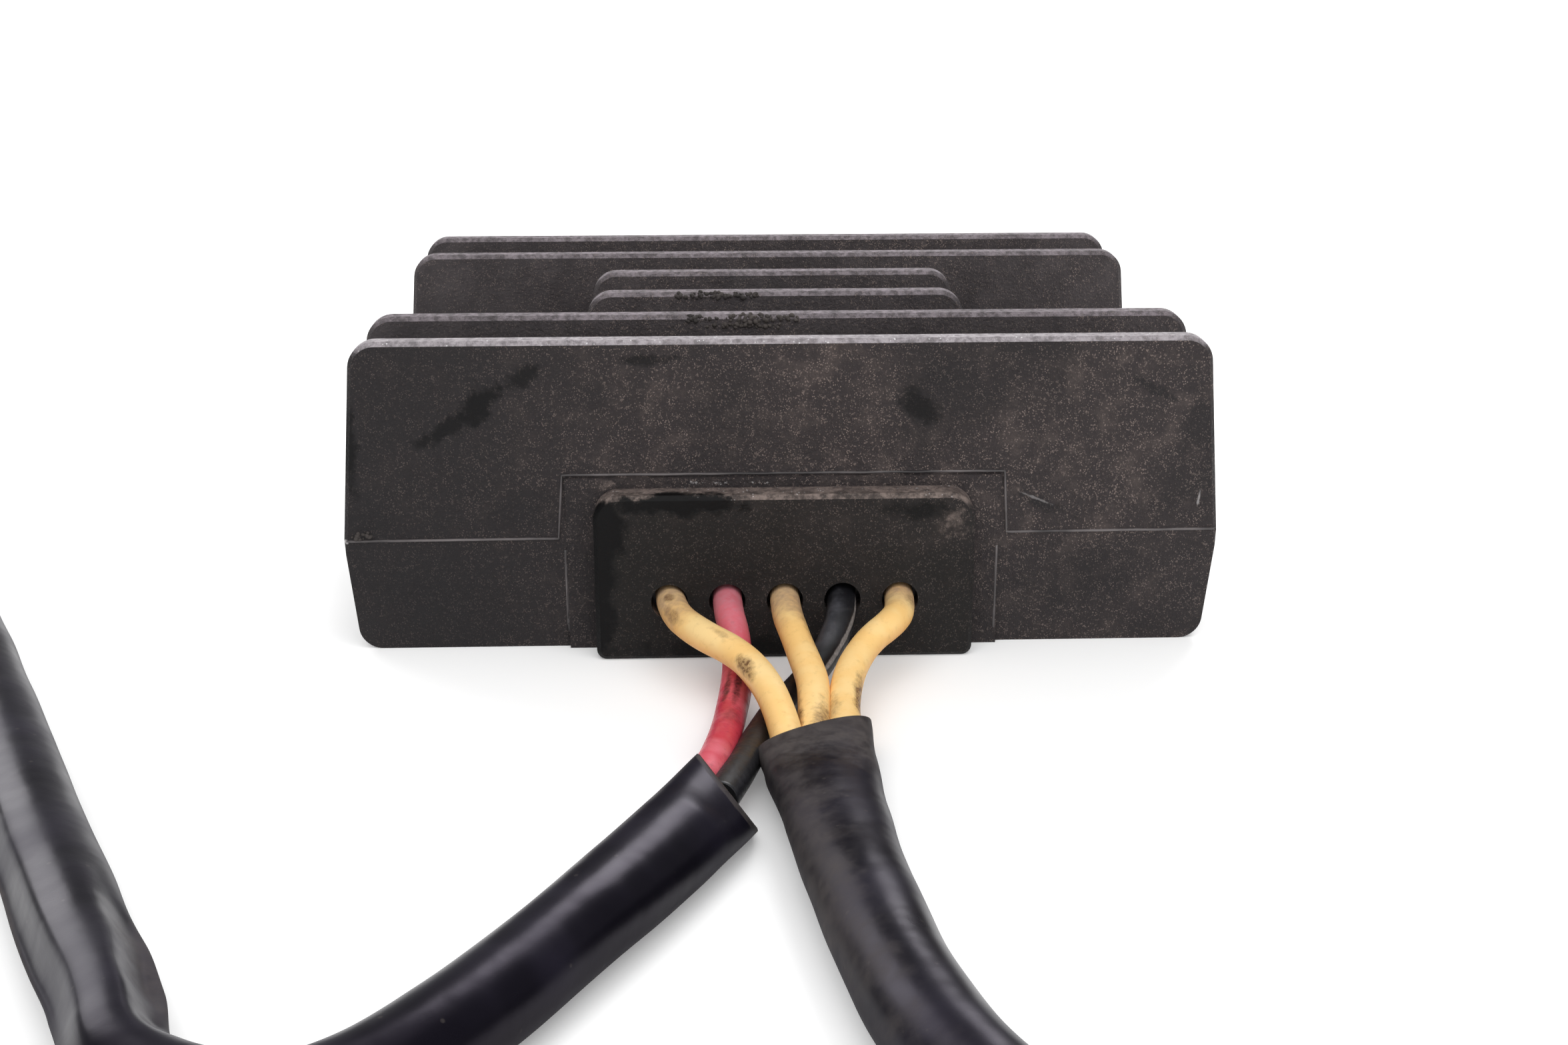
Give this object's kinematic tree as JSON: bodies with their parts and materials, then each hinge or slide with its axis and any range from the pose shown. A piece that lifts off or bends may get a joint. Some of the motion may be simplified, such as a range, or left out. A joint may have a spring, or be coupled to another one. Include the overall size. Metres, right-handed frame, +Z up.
{
  "type": "voltage regulator rectifier",
  "caption": "Black finned die-cast regulator rectifier with a flat bolt-down base; colour-coded leads leave a low block on its front face and run into black sleeves with connectors.",
  "frame": {"origin": "on the base plane, midway between the two fixing holes", "axes": "+X along the fins, towards the right of a viewer who faces the wire block; +Y from the wire block into the body; +Z up, out of the fins"},
  "size_m": [0.2093, 0.1983, 0.0377],
  "materials": {
    "painted_casting": "satin black paint over a cast surface",
    "resin": "satin",
    "bare_plate": "satin",
    "component_plastic": "matte",
    "board_laminate": "satin",
    "tinned_brass": "satin",
    "yellow_insulation": "satin",
    "red_insulation": "satin",
    "black_insulation": "satin",
    "sleeve_vinyl": "satin",
    "connector_plastic": "matte"
  },
  "bodies": {
    "root": {"heatsink_housing": "painted_casting", "potting_resin": "resin", "power_plate": "bare_plate", "thyristor_1": "component_plastic", "thyristor_2": "component_plastic", "thyristor_3": "component_plastic", "diode_1": "component_plastic", "diode_2": "component_plastic", "diode_3": "component_plastic", "control_board": "board_laminate", "control_chip": "component_plastic", "capacitor_1": "component_plastic", "capacitor_2": "component_plastic", "resistors": "component_plastic", "board_posts": "tinned_brass", "terminal_1": "tinned_brass", "terminal_2": "tinned_brass", "terminal_3": "tinned_brass", "terminal_4": "tinned_brass", "terminal_5": "tinned_brass", "yellow_wire_1": "yellow_insulation", "red_wire": "red_insulation", "yellow_wire_2": "yellow_insulation", "black_wire": "black_insulation", "yellow_wire_3": "yellow_insulation", "yellow_sleeve": "sleeve_vinyl", "red_black_sleeve": "sleeve_vinyl", "three_way_connector": "connector_plastic", "three_way_blades": "tinned_brass", "two_way_connector": "connector_plastic", "two_way_blades": "tinned_brass"}
  },
  "joints": []
}
